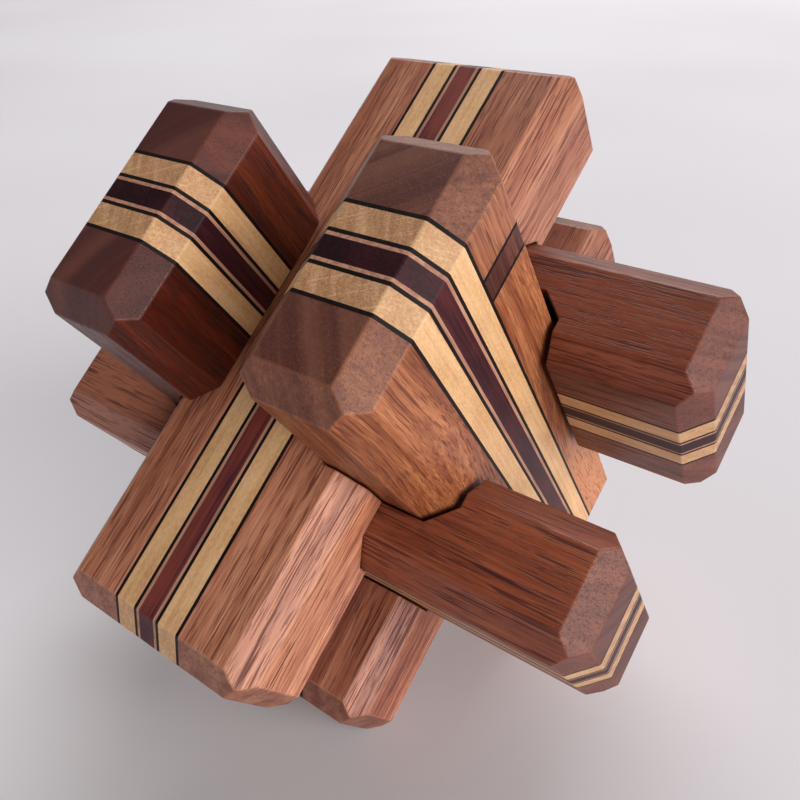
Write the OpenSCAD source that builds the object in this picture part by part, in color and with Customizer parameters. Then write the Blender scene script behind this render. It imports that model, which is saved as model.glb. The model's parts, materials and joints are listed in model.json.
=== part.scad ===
// Six-board burr puzzle in three crossing pairs, standing on its board ends.
// Every board is a lamination: two thick blocks of dark wood, and between them maple,
// purpleheart and thin veneers. One block of the key board is made up of two lengths with a
// band let in between them. Millimetres, +Z up, origin on the table below the centre.
//
// Puzzle frame: the top and bottom boards run along Y, the left and key boards along Z,
// and the back and front boards along X. The finished puzzle leans about X onto the
// table, which is the last step in board_at().

/* [Boards] */
// Thickness of a board, which is also the gap between the two boards of a pair
board_t = 19; // [16:0.5:24]
// Length of a board from end face to end face
board_len = 105; // [100:1:140]
// Leg of the 45 degree chamfer along each long edge
edge_chamfer = 3.7; // [1:0.1:4]
// Leg of the 45 degree chamfer round each end face
end_chamfer = 3.7; // [1:0.1:4]

/* [Lamination] */
// Thickness of the purpleheart strip in the middle of the stack
purple_t = 3; // [2:0.1:4]
// Thickness of the pale veneer on each side of the purpleheart
pale_t = 0.5; // [0.3:0.05:1]
// Thickness of each black veneer
black_t = 0.55; // [0.3:0.05:1]
// Thickness of each maple strip
maple_t = 3.5; // [2:0.1:4]
// Distance from the key board's upper end face to the band let in across one of its blocks
band_from_end = 11; // [8:0.5:20]
// Thickness of the wood strip in that band, between its two black lines
band_t = 3.8; // [2:0.1:8]

/* [Fit] */
// Clearance between a notch and the board that it holds
fit = 0.3; // [0.15:0.05:0.5]
// Extra room beside the key board in the back and front boards, which shows as a dark gap
key_gap = 0.9; // [0:0.1:1.5]

/* [Hidden] */
// A board is twice as wide as it is thick, so that the notches share one unit
board_w = 2 * board_t;
unit = board_t / 2;
// Distance from the puzzle's centre to the middle of each board
pair_offset = board_t;
// Hidden slack that lets the bottom and back boards slide by one unit
slack = unit;
// A parallel offset of an octagon lengthens its chamfer legs by this much
fit_chamfer = edge_chamfer + fit * (2 - sqrt(2));
passage_len = 2 * board_len;

// The puzzle rests on the end of the bottom board and on the ends of the upright pair:
// these are the rise and the run between the two edges that touch the table
rest_rise = board_len / 2 - pair_offset - board_t / 2;
rest_run = board_len / 2 - board_w / 2;
lean = atan(rest_rise / rest_run);
centre_z = (board_len / 2 - end_chamfer) * sin(lean) + (pair_offset + board_t / 2) * cos(lean);

// Edges of the layers, measured from the middle of the stack across the board's width
purple_edge = purple_t / 2;
pale_edge = purple_edge + pale_t;
inner_black_edge = pale_edge + black_t;
maple_edge = inner_black_edge + maple_t;
outer_black_edge = maple_edge + black_t;

// Edges of the key board's band, measured along the board from its middle
band_top = board_len / 2 - band_from_end;
band_upper_line = band_top - black_t;
band_lower_line = band_upper_line - band_t;
band_bottom = band_lower_line - black_t;

// A pair's turn takes the first pair, along Y and wide along X, to the other two
TURNS = [[0, 0, 0], [90, 0, 90], [0, -90, -90]];

// Each board is its name, its pair and its side of the centre
TOP = ["top_board", 0, 1];
BOTTOM = ["bottom_board", 0, -1];
LEFT = ["left_board", 1, -1];
KEY = ["key_board", 1, 1];
BACK = ["back_board", 2, 1];
FRONT = ["front_board", 2, -1];
BOARDS = [TOP, BOTTOM, LEFT, KEY, BACK, FRONT];

// What each board is notched round: the crossing board, and how far the notch grows
// along that board's width and thickness to leave room for a slide or a gap
function notches(board) =
    board == TOP ? [[KEY, 0, 0], [BACK, 0, 0], [FRONT, 0, 0]] :
    board == BOTTOM ? [[KEY, slack, 0], [BACK, 0, slack], [FRONT, 0, slack]] :
    board == LEFT ? [[TOP, 0, 0], [BOTTOM, 0, 0], [BACK, 0, 0]] :
    board == BACK ? [[KEY, 0, -slack], [KEY, 0, key_gap]] :
    board == FRONT ? [[KEY, 0, key_gap], [LEFT, 0, 0]] :
    [];

LAYERS = ["block_1", "block_2", "maple_1", "maple_2", "purpleheart", "black_veneers", "pale_veneers"];
BAND = ["key_board_band", "key_board_band_lines", "key_board_end_cap"];

// Rectangle with its four corners cut at 45 degrees
module chamfered_rect(x, y, leg) {
    a = x / 2;
    b = y / 2;
    polygon([
        [a - leg, -b], [a, leg - b], [a, b - leg], [a - leg, b],
        [leg - a, b], [-a, b - leg], [-a, leg - b], [leg - a, -b]
    ]);
}

// Takes a shape drawn in the first pair's frame to a board's place in the puzzle frame
module in_pair(board) {
    rotate(TURNS[board[1]])
        translate([0, 0, board[2] * pair_offset])
            children();
}

// Octagonal bar along Y
module bar(width, thickness, leg, length) {
    rotate([90, 0, 0])
        linear_extrude(height = length, center = true)
            chamfered_rect(width, thickness, leg);
}

// Board before its notches are cut, with its long edges and both ends chamfered
module blank() {
    intersection() {
        bar(board_w, board_t, edge_chamfer, board_len);
        linear_extrude(height = board_t, center = true)
            chamfered_rect(board_w, board_len, end_chamfer);
        rotate([0, 90, 0])
            linear_extrude(height = board_w, center = true)
                chamfered_rect(board_t, board_len, end_chamfer);
    }
}

// Space that a crossing board needs, with its clearance and the growth for a slide or a gap
module passage(board, grow_w, grow_t) {
    in_pair(board)
        translate([grow_w / 2, 0, grow_t / 2])
            bar(board_w + 2 * fit + abs(grow_w), board_t + 2 * fit + abs(grow_t), fit_chamfer, passage_len);
}

// One board's layer between two distances from the middle of the stack, in its final place.
// It runs the whole length of the board unless a stretch of it is asked for.
module board_at(board, from, to, low = -board_len, high = board_len) {
    translate([0, 0, centre_z])
        rotate([lean, 0, 0])
            difference() {
                in_pair(board)
                    intersection() {
                        blank();
                        translate([from, low, -board_t])
                            cube([to - from, high - low, 2 * board_t]);
                    }
                for (notch = notches(board)) passage(notch[0], notch[1], notch[2]);
            }
}

// A layer on one side of the middle of the stack
module side_layer(board, side, near, far) {
    board_at(board, min(side * near, side * far), max(side * near, side * far));
}

// Stretch of the key board's second block, which is made up of several lengths
module key_block_stretch(low, high) {
    board_at(KEY, outer_black_edge, board_w / 2, low, high);
}

// Thick outer block of dark reddish wood
module block(board, side) {
    color("#9a6248") side_layer(board, side, outer_black_edge, board_w / 2);
}

// The key board's second block, which stops at the band
module spliced_block() {
    color("#9a6248") key_block_stretch(-board_len, band_bottom);
}

// Strip of wood let in across the key board's second block
module band() {
    color("#7e4632") key_block_stretch(band_lower_line, band_upper_line);
}

// The two black lines on either side of that strip
module band_lines() {
    color("#16100f") {
        key_block_stretch(band_bottom, band_lower_line);
        key_block_stretch(band_upper_line, band_top);
    }
}

// The rest of the second block, from the band to the board's upper end
module end_cap() {
    color("#a06a4e") key_block_stretch(band_top, board_len);
}

// Light strip
module maple(board, side) {
    color("#dcb47e") side_layer(board, side, inner_black_edge, maple_edge);
}

// Dark red strip in the middle
module purpleheart(board) {
    color("#4a1a22") board_at(board, -purple_edge, purple_edge);
}

// The four black lines, as four separate sheets
module black_veneers(board) {
    color("#16100f")
        for (side = [-1, 1]) {
            side_layer(board, side, pale_edge, inner_black_edge);
            side_layer(board, side, maple_edge, outer_black_edge);
        }
}

// The two thin pale lines beside the purpleheart
module pale_veneers(board) {
    color("#c8967a")
        for (side = [-1, 1]) side_layer(board, side, purple_edge, pale_edge);
}

for (board = BOARDS) {
    block(board, -1);
    union() {
        if (board == KEY) spliced_block();
        else block(board, 1);
    }
    maple(board, -1);
    maple(board, 1);
    purpleheart(board);
    black_veneers(board);
    pale_veneers(board);
}
band();  // key_board_band
band_lines();  // key_board_band_lines
end_cap();  // key_board_end_cap
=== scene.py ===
"""Looks of the six-board burr puzzle: eased edges, solid-wood materials, floor, light and camera.

Every strip of every board is a copy of its CAD node with its outer edges eased. Its material
is one solid pattern in its board's own frame (X across the lamination, Y along the grain,
Z through the thickness), so streaks run along the board and turn into pores on its ends.
"""

import json
import math
import random

import bmesh
import bpy
from mathutils import Matrix, Vector


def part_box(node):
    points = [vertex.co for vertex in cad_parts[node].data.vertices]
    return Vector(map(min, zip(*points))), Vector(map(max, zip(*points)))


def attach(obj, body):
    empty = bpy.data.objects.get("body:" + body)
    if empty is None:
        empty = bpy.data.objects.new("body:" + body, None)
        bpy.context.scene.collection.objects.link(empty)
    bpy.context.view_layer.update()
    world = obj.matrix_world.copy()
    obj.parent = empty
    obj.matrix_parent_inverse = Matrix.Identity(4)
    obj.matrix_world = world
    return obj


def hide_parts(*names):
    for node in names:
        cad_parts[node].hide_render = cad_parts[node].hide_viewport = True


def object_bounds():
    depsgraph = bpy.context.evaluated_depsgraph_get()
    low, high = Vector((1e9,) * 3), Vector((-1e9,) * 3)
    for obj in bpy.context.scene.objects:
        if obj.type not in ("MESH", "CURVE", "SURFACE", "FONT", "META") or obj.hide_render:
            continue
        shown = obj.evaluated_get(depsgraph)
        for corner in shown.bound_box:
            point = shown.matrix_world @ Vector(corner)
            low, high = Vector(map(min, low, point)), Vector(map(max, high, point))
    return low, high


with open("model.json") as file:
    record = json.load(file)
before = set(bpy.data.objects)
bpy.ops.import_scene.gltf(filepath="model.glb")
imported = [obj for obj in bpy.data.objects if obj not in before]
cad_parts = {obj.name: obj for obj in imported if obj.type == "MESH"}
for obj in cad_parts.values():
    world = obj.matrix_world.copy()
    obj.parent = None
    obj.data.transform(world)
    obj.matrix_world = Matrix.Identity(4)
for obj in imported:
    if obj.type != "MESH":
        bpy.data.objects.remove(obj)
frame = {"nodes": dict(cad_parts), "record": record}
cad_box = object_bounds()

MM = 0.001

# ---------------------------------------------------------------- the boards' own frames

BOARD_T = 19 * MM
BOARD_W = 2 * BOARD_T
BOARD_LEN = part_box("front_board_block_1")[1].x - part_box("front_board_block_1")[0].x

# The puzzle leans until the end of one board and the ends of the upright pair rest on the
# table. These are the rise and the run between those two edges.
REST_RISE = BOARD_LEN / 2 - 1.5 * BOARD_T
REST_RUN = BOARD_LEN / 2 - BOARD_W / 2
LEAN = math.atan(REST_RISE / REST_RUN)
CENTRE = Vector((0, 0, (cad_box[0].z + cad_box[1].z) / 2))

# Each pair's turn, whose columns are where the first pair's X, Y and Z go
PAIR_TURNS = (
    Matrix(((1, 0, 0), (0, 1, 0), (0, 0, 1))),
    Matrix(((0, 0, 1), (1, 0, 0), (0, 1, 0))),
    Matrix(((0, 1, 0), (0, 0, 1), (1, 0, 0))),
)

# Each board's pair and its side of the centre
BOARDS = {
    "top_board": (0, 1),
    "bottom_board": (0, -1),
    "left_board": (1, -1),
    "key_board": (1, 1),
    "back_board": (2, 1),
    "front_board": (2, -1),
}


def board_of(node):
    return next(board for board in BOARDS if node.startswith(board))


def board_matrix(board):
    """From the board's own coordinates to the row's."""
    pair, side = BOARDS[board]
    lean = Matrix.Rotation(LEAN, 4, "X")
    offset = Matrix.Translation((0, 0, side * BOARD_T))
    return Matrix.Translation(CENTRE) @ lean @ PAIR_TURNS[pair].to_4x4() @ offset


# ---------------------------------------------------------------- shader helpers


def srgb(red, green, blue):
    """A colour as a screen shows it, 0 to 255, in the linear values that a shader takes."""
    def linear(value):
        value /= 255
        return value / 12.92 if value <= 0.04045 else ((value + 0.055) / 1.055) ** 2.4

    return (linear(red), linear(green), linear(blue), 1.0)


BUMP_DEPTH = 0.1 * MM
# How fast a surface turns into end grain as it tips across the grain
END_GRAIN_POWER = 1.5


class Shader:
    """A material, with short names for the nodes that its colour, roughness and bump are made of."""

    def __init__(self, name, place=None):
        """place is the matrix of the piece's own frame, for its grain."""
        self.material = bpy.data.materials.new(name)
        self.material.use_nodes = True
        self.tree = self.material.node_tree
        self.tree.nodes.clear()
        self.to_own = (place or Matrix.Identity(4)).inverted()

    def node(self, kind, inputs, **settings):
        """A node with its settings, and each input either linked or set to a value."""
        made = self.tree.nodes.new("ShaderNode" + kind)
        for key, value in settings.items():
            setattr(made, key, value)
        for key, value in inputs.items():
            if isinstance(value, bpy.types.NodeSocket):
                self.tree.links.new(value, made.inputs[key])
            else:
                made.inputs[key].default_value = value
        return made

    def math(self, operation, a, b=0.0):
        return self.node("Math", {0: a, 1: b}, operation=operation).outputs[0]

    def vector(self, operation, a, b):
        return self.node("VectorMath", {0: a, 1: b}, operation=operation).outputs[0]

    def blend_of(self, *parts):
        """Weighted sum of values, each part a (weight, value)."""
        (weight, value), *others = parts
        total = self.math("MULTIPLY", value, weight)
        for weight, value in others:
            terms = {0: value, 1: weight, 2: total}
            total = self.node("Math", terms, operation="MULTIPLY_ADD").outputs[0]
        return total

    def noise(self, at, stretch, detail=2.0, roughness=0.5, output="Fac"):
        """Noise with so many waves per millimetre in each direction."""
        scaled = self.vector("MULTIPLY", at, stretch)
        inputs = {"Vector": scaled, "Scale": 1.0, "Detail": detail, "Roughness": roughness}
        return self.node("TexNoise", inputs).outputs[output]

    def ring_noise(self, radius, per_mm):
        """Uneven growth rings, so many per millimetre from the pith."""
        across = self.math("MULTIPLY", radius, per_mm)
        inputs = {"W": across, "Scale": 1.0, "Detail": 3.0, "Roughness": 0.6}
        return self.node("TexNoise", inputs, noise_dimensions="1D").outputs[0]

    def step(self, value, low, high, to_low=0.0, to_high=1.0):
        """Smooth rise from one value to another as the input goes from low to high."""
        inputs = {
            "Value": value,
            "From Min": low,
            "From Max": high,
            "To Min": to_low,
            "To Max": to_high,
        }
        return self.node("MapRange", inputs, interpolation_type="SMOOTHSTEP").outputs[0]

    def mix(self, factor, a, b, blend="MIX"):
        inputs = {0: factor, 6: a, 7: b}
        return self.node("Mix", inputs, data_type="RGBA", blend_type=blend).outputs[2]

    def ramp(self, factor, *stops):
        """A colour ramp, each stop a (position, colour)."""
        made = self.node("ValToRGB", {0: factor})
        elements = made.color_ramp.elements
        while len(elements) < len(stops):
            elements.new(0.5)
        for element, (position, colour) in zip(elements, stops):
            element.position = position
            element.color = colour
        return made.outputs[0]

    def position(self, shift=(0, 0, 0)):
        """Own coordinates in millimetres, moved by a shift so that no two pieces match."""
        at = self.node("TexCoord", {}).outputs["Object"]
        inputs = {
            "Vector": at,
            "Location": self.to_own.translation / MM + Vector(shift),
            "Rotation": self.to_own.to_euler(),
            "Scale": (1 / MM,) * 3,
        }
        return self.node("Mapping", inputs, vector_type="POINT").outputs[0]

    def end_grain(self):
        """1 on faces that cut across the grain, 0 on faces along it."""
        normal = self.node("TexCoord", {}).outputs["Normal"]
        inputs = {"Vector": normal, "Rotation": self.to_own.to_euler()}
        turned = self.node("Mapping", inputs, vector_type="VECTOR").outputs[0]
        along = self.node("SeparateXYZ", {0: turned}).outputs[1]
        return self.math("POWER", self.math("ABSOLUTE", along), END_GRAIN_POWER)

    def eased(self):
        """1 on the narrow eased edges, 0 elsewhere."""
        return self.node("Attribute", {}, attribute_name="eased").outputs["Fac"]

    def finish(self, colour, roughness, height, bump, specular):
        """The finished material, with the height as a fine bump."""
        relief = {"Height": height, "Strength": bump, "Distance": BUMP_DEPTH}
        surface = {
            "Base Color": colour,
            "Roughness": roughness,
            "Specular IOR Level": specular,
            "Normal": self.node("Bump", relief).outputs[0],
        }
        self.node("OutputMaterial", {0: self.node("BsdfPrincipled", surface).outputs[0]})
        return self.material


SHIFT = 400


def random_shift(seed):
    """Place, in millimetres, in the endless solid of noise that a piece is cut from."""
    pick = random.Random(seed)
    return [pick.uniform(-SHIFT, SHIFT) for _ in range(3)]


# ---------------------------------------------------------------- woods

# Each hardwood has its deep, middle and light colours and its end grain's, the centre of its
# growth rings across the board in millimetres, the rings per millimetre, how far the grain
# wanders in millimetres, and what share of the colour the rings and the broad ribbons give.
# It fades towards another colour along the board: from where to where in millimetres, how
# much, and which colour. The fade is partly the wood's own change of tone and partly painted
# light: one end is made lighter or darker where light and sheen fall differently on the board.
# A wood with faint pores says how dark they are.
PINKISH = {
    "tones": (srgb(126, 62, 44), srgb(178, 114, 85), srgb(216, 155, 122), srgb(86, 44, 33)),
    "pith": (30, -90), "rings": 0.20, "bend": 1.5, "figure": 0.15, "ribbon": 0.25,
    "fade": (5, 45, 0.4, srgb(126, 66, 46)),
}
ROSY = {
    "tones": (srgb(108, 46, 36), srgb(160, 96, 72), srgb(210, 148, 118), srgb(96, 52, 42)),
    "pith": (-60, 70), "rings": 0.16, "bend": 1.5, "figure": 0.2, "ribbon": 0.35,
    "fade": (0, 40, 0.5, srgb(126, 66, 46)),
}
DARK = {
    "tones": (srgb(42, 8, 2), srgb(79, 21, 4), srgb(126, 54, 17), srgb(92, 49, 41)),
    "pith": (-26, 34), "rings": 0.10, "bend": 4.0, "figure": 0.35, "ribbon": 0.25,
    "fade": (0, -45, 0.3, srgb(110, 52, 22)),
}
ORANGE = {
    "tones": (srgb(88, 38, 20), srgb(142, 79, 47), srgb(194, 126, 82), srgb(98, 57, 45)),
    "pith": (-30, -26), "rings": 0.12, "bend": 7.0, "figure": 0.32, "ribbon": 0.15,
    "fade": (0, -24, 0.6, srgb(212, 138, 86)),
    "pores": 0.6,
}
RED_BROWN = {
    "tones": (srgb(92, 38, 20), srgb(120, 57, 34), srgb(140, 74, 47), srgb(101, 57, 48)),
    "pith": (60, 80), "rings": 0.22, "bend": 1.2, "figure": 0.12, "ribbon": 0.22,
    "fade": (-15, -40, 0.45, srgb(176, 116, 90)),
}
LIGHTER_BROWN = RED_BROWN | {
    "tones": (srgb(100, 46, 28), srgb(134, 68, 44), srgb(156, 90, 62), srgb(86, 43, 37)),
}
BAND_WOOD = {
    "tones": (srgb(46, 16, 12), srgb(80, 36, 24), srgb(116, 60, 40), srgb(72, 38, 30)),
    "pith": (-30, 20), "rings": 0.3, "bend": 6.0, "figure": 0.35, "ribbon": 0.1,
    "fade": (36, 42, 0.2, srgb(70, 26, 22)),
}
CAP_WOOD = {
    "tones": (srgb(98, 46, 30), srgb(144, 85, 56), srgb(182, 120, 86), srgb(98, 58, 46)),
    "pith": (80, -60), "rings": 0.24, "bend": 1.0, "figure": 0.2, "ribbon": 0.15,
    "fade": (52, 42, 0.2, srgb(170, 106, 70)),
}
HARDWOODS = {
    "top_board": PINKISH,
    "bottom_board": ROSY,
    "left_board": DARK,
    "key_board": ORANGE,
    "key_board_band": BAND_WOOD,
    "key_board_end_cap": CAP_WOOD,
    "back_board": RED_BROWN,
    "front_board": LIGHTER_BROWN,
}
# The share of every hardwood's colour that its fine fibre gives
FIBRE_SHARE = 0.22
# How dark the pores are, unless a wood has its own value
PORES = 0.85

# The dark and the reddish colour of purpleheart: mottled in the top and bottom boards, and
# plain in the others
MOTTLED_PURPLE = (srgb(62, 24, 38), srgb(116, 54, 45))
PLAIN_PURPLE = (srgb(44, 14, 22), srgb(80, 30, 34))


def hardwood(node, seed):
    """Coarse-grained reddish wood: growth rings, ribbons, fibre and open pores."""
    wood = HARDWOODS.get(node) or HARDWOODS[board_of(node)]
    deep, middle, light, end = wood["tones"]
    s = Shader(f"{node}_hardwood", board_matrix(board_of(node)))
    own = s.position()
    at = s.vector("ADD", own, random_shift(seed))

    # The grain wanders slowly from side to side
    drift = s.noise(at, (0.035, 0.012, 0.035), detail=1.5, output="Color")
    reach = 2 * wood["bend"]
    drift = s.vector("MULTIPLY", s.vector("SUBTRACT", drift, (0.5,) * 3), (reach, 0, reach))
    bent = s.vector("ADD", at, drift)

    # Growth rings round the pith, and streaks drawn out along the grain
    across = s.vector("ADD", s.vector("MULTIPLY", own, (1, 0, 1)), drift)
    pith_x, pith_z = wood["pith"]
    from_pith = s.vector("SUBTRACT", across, (pith_x, 0, pith_z))
    radius = s.node("VectorMath", {0: from_pith}, operation="LENGTH").outputs["Value"]
    rings = s.ring_noise(radius, wood["rings"])
    ribbon = s.noise(bent, (0.4, 0.01, 0.4), detail=1.0)
    streaks = s.noise(bent, (1.2, 0.03, 1.2), detail=3.0, roughness=0.6)
    fibre = s.noise(bent, (5.0, 0.16, 5.0), detail=2.0, roughness=0.6)

    # The colour of the sides, which fades along the board partly in tone and partly as painted light
    streak_share = 1 - wood["figure"] - wood["ribbon"] - FIBRE_SHARE
    tone = s.blend_of(
        (wood["figure"], rings),
        (wood["ribbon"], ribbon),
        (streak_share, streaks),
        (FIBRE_SHARE, fibre),
    )
    colour = s.ramp(tone, (0.36, deep), (0.5, middle), (0.64, light))
    # Painted light with some of the wood's own tone: one end of the board turns lighter or darker
    fade_from, fade_to, fade_amount, fade_and_light_colour = wood["fade"]
    along = s.node("SeparateXYZ", {0: own}).outputs[1]
    colour = s.mix(s.step(along, fade_from, fade_to, 0.0, fade_amount), colour, fade_and_light_colour)

    # Open pores, which show as dark dashes on the sides and hardly at all on the ends
    cut = s.end_grain()
    long_pores = s.step(s.noise(bent, (3.4, 0.085, 3.4), detail=0.0), 0.38, 0.28)
    short_pores = s.step(s.noise(bent, (6.4, 0.3, 6.4), detail=0.0), 0.39, 0.31)
    pores = s.math("MAXIMUM", long_pores, s.math("MULTIPLY", short_pores, 0.7))
    pores = s.math("MULTIPLY", pores, s.math("SUBTRACT", 1.0, s.math("MULTIPLY", cut, 0.88)))

    # The ends are darker, banded by the rings and lightly specked
    dark_end = s.mix(1.0, end, srgb(190, 160, 178), "MULTIPLY")
    banded = s.mix(s.step(rings, 0.42, 0.58), dark_end, end)
    specks = s.math("MULTIPLY", s.step(fibre, 0.56, 0.7), 0.35)
    end_colour = s.mix(specks, banded, middle)
    colour = s.mix(s.math("MULTIPLY", cut, 0.9), colour, end_colour)
    dark_pore = s.mix(1.0, colour, srgb(140, 96, 88), "MULTIPLY")
    colour = s.mix(s.math("MULTIPLY", pores, wood.get("pores", PORES)), colour, dark_pore)
    colour = s.mix(s.math("MULTIPLY", s.eased(), 0.12), colour, light)

    roughness = s.math("ADD", s.blend_of((0.2, pores), (0.25, fibre), (0.14, cut)), 0.28)
    height = s.blend_of((0.5, fibre), (0.2, streaks), (-0.7, pores))
    return s.finish(colour, roughness, height, 0.5, 0.45)


# How far the rays on the maple's ends slant
RAY_SLANT = math.radians(62)


def maple(node, seed):
    """Pale, fine, even wood: flecks on its sides and slanting rays on its ends."""
    s = Shader(f"{node}_maple", board_matrix(board_of(node)))
    at = s.position(random_shift(seed))
    grain = s.noise(at, (1.6, 0.04, 1.6), detail=3.0, roughness=0.6)
    fleck = s.noise(at, (3.8, 1.3, 3.8), detail=2.0, roughness=0.7)
    mottle = s.noise(at, (0.25, 0.12, 0.25), detail=2.0)
    tone = s.blend_of((0.35, grain), (0.35, fleck), (0.3, mottle))
    colour = s.ramp(
        tone,
        (0.36, srgb(186, 136, 92)),
        (0.5, srgb(210, 165, 118)),
        (0.64, srgb(226, 186, 140)),
    )
    slant = {"Vector": at, "Rotation": (0, RAY_SLANT, 0)}
    slanted = s.node("Mapping", slant, vector_type="POINT").outputs[0]
    rays = s.step(s.noise(slanted, (0.1, 0.2, 3.4), detail=1.0), 0.58, 0.7)
    pith_rings = s.noise(slanted, (1.1, 0.05, 0.15), detail=2.0)
    end_tone = s.blend_of((0.12, rays), (0.6, fleck), (0.4, pith_rings))
    end = s.ramp(
        end_tone,
        (0.38, srgb(152, 110, 78)),
        (0.5, srgb(174, 130, 94)),
        (0.66, srgb(204, 162, 122)),
    )
    colour = s.mix(s.end_grain(), colour, end)
    colour = s.mix(s.math("MULTIPLY", s.eased(), 0.15), colour, srgb(232, 198, 152))
    roughness = s.math("ADD", 0.38, s.math("MULTIPLY", fleck, 0.16))
    return s.finish(colour, roughness, fleck, 0.2, 0.35)


def purpleheart(node, seed):
    """Dark maroon wood, with redder stretches between the purple ones."""
    board = board_of(node)
    dark, red = MOTTLED_PURPLE if board in ("top_board", "bottom_board") else PLAIN_PURPLE
    s = Shader(f"{node}_purpleheart", board_matrix(board))
    at = s.position(random_shift(seed))
    stretch = s.noise(at, (0.14, 0.045, 0.14), detail=2.0, roughness=0.6)
    grain = s.noise(at, (2.6, 0.07, 2.6), detail=3.0, roughness=0.65)
    tone = s.blend_of((0.5, stretch), (0.5, grain))
    colour = s.ramp(tone, (0.44, dark), (0.6, red))
    darkened = s.mix(1.0, colour, srgb(170, 150, 176), "MULTIPLY")
    colour = s.mix(s.end_grain(), colour, darkened)
    roughness = s.math("ADD", 0.38, s.math("MULTIPLY", grain, 0.2))
    return s.finish(colour, roughness, grain, 0.25, 0.22)


def veneer(low, high):
    """Thin sheet, with just enough grain to break its line."""
    def make(node, seed):
        s = Shader(f"{node}_sheet", board_matrix(board_of(node)))
        grain = s.noise(s.position(random_shift(seed)), (2.0, 0.12, 1.6), detail=3.0, roughness=0.6)
        colour = s.ramp(grain, (0.38, low), (0.62, high))
        roughness = s.math("ADD", 0.42, s.math("MULTIPLY", grain, 0.2))
        return s.finish(colour, roughness, grain, 0.15, 0.15)

    return make


WOODS = {
    "dark_wood": hardwood,
    "maple": maple,
    "purpleheart": purpleheart,
    "black_veneer": veneer(srgb(12, 8, 8), srgb(26, 17, 16)),
    "pale_veneer": veneer(srgb(152, 106, 86), srgb(184, 138, 114)),
}

# ---------------------------------------------------------------- pieces

EASE = 0.22 * MM
EASE_SEGMENTS = 2
# How close a vertex lies to a plane that it is on
NEAR = 0.02 * MM
# Edges that turn outwards by more than this are eased
SHARP = math.radians(20)
# Faces that turn by less than this are one flat face
FLAT = math.radians(1)
# The board's own axes across its width and along its grain
ACROSS, ALONG = 0, 1
# The key board's second block is made up of these lengths, glued end to end
SPLICED = ("key_board_block_2", "key_board_band", "key_board_end_cap")


def sheets(bm):
    """The vertices of each separate sheet in the mesh."""
    left = set(bm.verts)
    while left:
        stack = [left.pop()]
        found = []
        while stack:
            vert = stack.pop()
            found.append(vert)
            touching = {edge.other_vert(vert) for edge in vert.link_edges} & left
            left -= touching
            stack.extend(touching)
        yield found


def glued_planes(bm, axis, board_size):
    """Where each sheet ends on an axis, other than at the board's own faces: it is glued there."""
    planes = set()
    for verts in sheets(bm):
        places = [vert.co[axis] for vert in verts]
        ends = min(places), max(places)
        planes.update(end for end in ends if abs(abs(end) - board_size / 2) > NEAR)
    return planes


def lies_on(edge, axis, planes):
    """Whether an edge lies in one of the planes at right angles to an axis."""
    return any(all(abs(vert.co[axis] - plane) < NEAR for vert in edge.verts) for plane in planes)


def ease_edges(mesh, node):
    """Rounds a piece's outer edges and marks the new narrow faces. Glued edges stay sharp."""
    bm = bmesh.new()
    bm.from_mesh(mesh)
    bmesh.ops.remove_doubles(bm, verts=bm.verts, dist=0.1 * NEAR)
    bmesh.ops.dissolve_limit(bm, angle_limit=FLAT, verts=bm.verts, edges=bm.edges)
    mark = bm.faces.layers.float.new("eased")
    across = glued_planes(bm, ACROSS, BOARD_W)
    along = glued_planes(bm, ALONG, BOARD_LEN) if node.startswith(SPLICED) else set()
    outer = [
        edge
        for edge in bm.edges
        if edge.calc_face_angle_signed() > SHARP
        and not lies_on(edge, ACROSS, across)
        and not lies_on(edge, ALONG, along)
    ]
    eased = bmesh.ops.bevel(
        bm,
        geom=outer,
        offset=EASE,
        segments=EASE_SEGMENTS,
        profile=0.5,
        affect="EDGES",
        clamp_overlap=True,
    )
    for face in eased["faces"]:
        face[mark] = 1.0
    bm.to_mesh(mesh)
    bm.free()


def make_piece(node, material):
    """The node's solid with eased edges, in its place in the row."""
    matrix = board_matrix(board_of(node))
    mesh = frame["nodes"][node].data.copy()
    mesh.transform(matrix.inverted())
    ease_edges(mesh, node)
    mesh.transform(matrix)
    mesh.materials.clear()
    mesh.materials.append(material)
    piece = bpy.data.objects.new(f"{node}_wood", mesh)
    bpy.context.collection.objects.link(piece)
    return piece


def make_pieces():
    """Every node's piece, in its wood, riding on its node's body."""
    bodies = frame["record"]["behaviour"]["bodies"]
    body_of = {node: body for body, nodes in bodies.items() for node in nodes}
    for seed, subpart in enumerate(frame["record"]["subparts"], start=1):
        node, slot = subpart["node"], subpart["material_slot"]
        piece = make_piece(node, WOODS[slot](node, seed))
        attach(piece, body_of[node])
        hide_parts(node)


# ---------------------------------------------------------------- floor, light and camera

FLOOR_SIZE = 6.0
# The warm white of the room's walls and of its faint light
ROOM_WHITE = (1.0, 0.975, 0.965, 1.0)
# How high above eye level the pale walls begin and end their fade, as the sine of the angle
WALLS_FADE_FROM = 0.2
WALLS_FADE_TO = 0.45

CAMERA_AZIMUTH = math.radians(39.13)
CAMERA_ELEVATION = math.radians(35.18)
CAMERA_ROLL = math.radians(-2.17)
CAMERA_PLACE = Vector((0.0713, -0.0958, 0.1287))
CAMERA_LENS = 35.7
CAMERA_SENSOR = 36
CAMERA_SHIFT = (0.051, 0.0436)


def make_floor():
    """Plain pale paper, with a faint cloudiness and weave."""
    bpy.ops.mesh.primitive_plane_add(size=FLOOR_SIZE)
    floor = bpy.context.object
    floor.name = "floor"
    s = Shader("floor_paper")
    at = s.position()
    cloud = s.noise(at, (0.004,) * 3, detail=1.0)
    colour = s.ramp(cloud, (0.3, srgb(211, 207, 212)), (0.7, srgb(217, 214, 218)))
    weave = s.noise(at, (1.5,) * 3)
    floor.data.materials.append(s.finish(colour, 0.85, weave, 0.05, 0.2))


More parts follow.
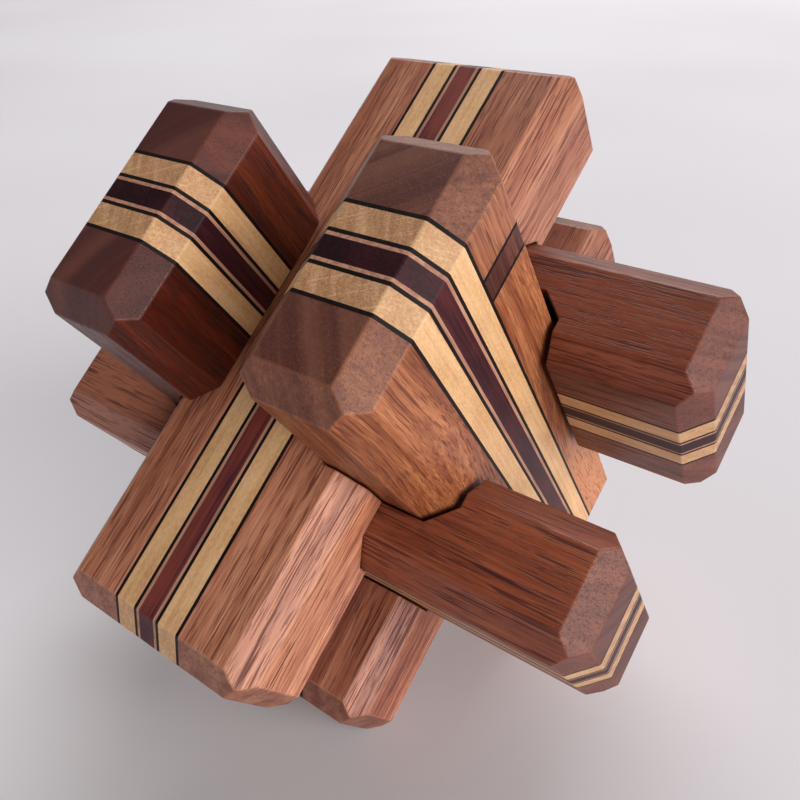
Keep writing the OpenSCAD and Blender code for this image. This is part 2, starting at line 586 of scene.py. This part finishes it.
def area_light(name, direction, distance, size, power, colour=(1, 1, 1)):
    """A soft light that shines at the puzzle from a direction."""
    light = bpy.data.lights.new(name, "AREA")
    light.shape = "RECTANGLE"
    light.size, light.size_y = size
    light.energy = power
    light.color = colour
    lamp = bpy.data.objects.new(name, light)
    bpy.context.collection.objects.link(lamp)
    lamp.location = CENTRE + Vector(direction).normalized() * distance
    lamp.rotation_euler = Vector(direction).to_track_quat("Z", "Y").to_euler()


def make_world(around, walls):
    """Pale walls up to a little above eye level, and a much fainter light from over them."""
    world = bpy.data.worlds.new("soft_room")
    bpy.context.scene.world = world
    world.use_nodes = True
    nodes, links = world.node_tree.nodes, world.node_tree.links
    direction = nodes.new("ShaderNodeSeparateXYZ")
    links.new(nodes.new("ShaderNodeTexCoord").outputs["Generated"], direction.inputs[0])
    height = nodes.new("ShaderNodeMapRange")
    height.interpolation_type = "SMOOTHSTEP"
    height.inputs["From Min"].default_value = WALLS_FADE_TO
    height.inputs["From Max"].default_value = WALLS_FADE_FROM
    height.inputs["To Min"].default_value = around
    height.inputs["To Max"].default_value = walls
    links.new(direction.outputs["Z"], height.inputs["Value"])
    background = nodes["Background"]
    background.inputs["Color"].default_value = ROOM_WHITE
    links.new(height.outputs[0], background.inputs["Strength"])


def make_camera():
    """The camera looks down at the puzzle from the right front, close by."""
    back = Vector((
        math.sin(CAMERA_AZIMUTH) * math.cos(CAMERA_ELEVATION),
        -math.cos(CAMERA_AZIMUTH) * math.cos(CAMERA_ELEVATION),
        math.sin(CAMERA_ELEVATION),
    ))
    level = Vector((math.cos(CAMERA_AZIMUTH), math.sin(CAMERA_AZIMUTH), 0))
    right = level * math.cos(CAMERA_ROLL) + back.cross(level) * math.sin(CAMERA_ROLL)
    turn = Matrix((right, back.cross(right), back)).transposed()
    data = bpy.data.cameras.new("camera")
    data.lens = CAMERA_LENS
    data.sensor_width = CAMERA_SENSOR
    data.shift_x, data.shift_y = CAMERA_SHIFT
    data.clip_start = 0.01
    camera = bpy.data.objects.new("camera", data)
    bpy.context.collection.objects.link(camera)
    camera.matrix_world = Matrix.Translation(CAMERA_PLACE) @ turn.to_4x4()
    bpy.context.scene.camera = camera


make_pieces()
make_floor()
make_world(around=0.02, walls=0.72)
area_light(
    "window",
    direction=(0.92, -0.2, 0.35),
    distance=4.0,
    size=(4.4, 3.0),
    power=210,
    colour=(1.0, 0.975, 0.95),
)
area_light("ceiling", direction=(-0.2, 0.6, 0.77), distance=2.5, size=(2.0, 2.0), power=56)
make_camera()
bpy.context.scene.view_settings.view_transform = "Standard"
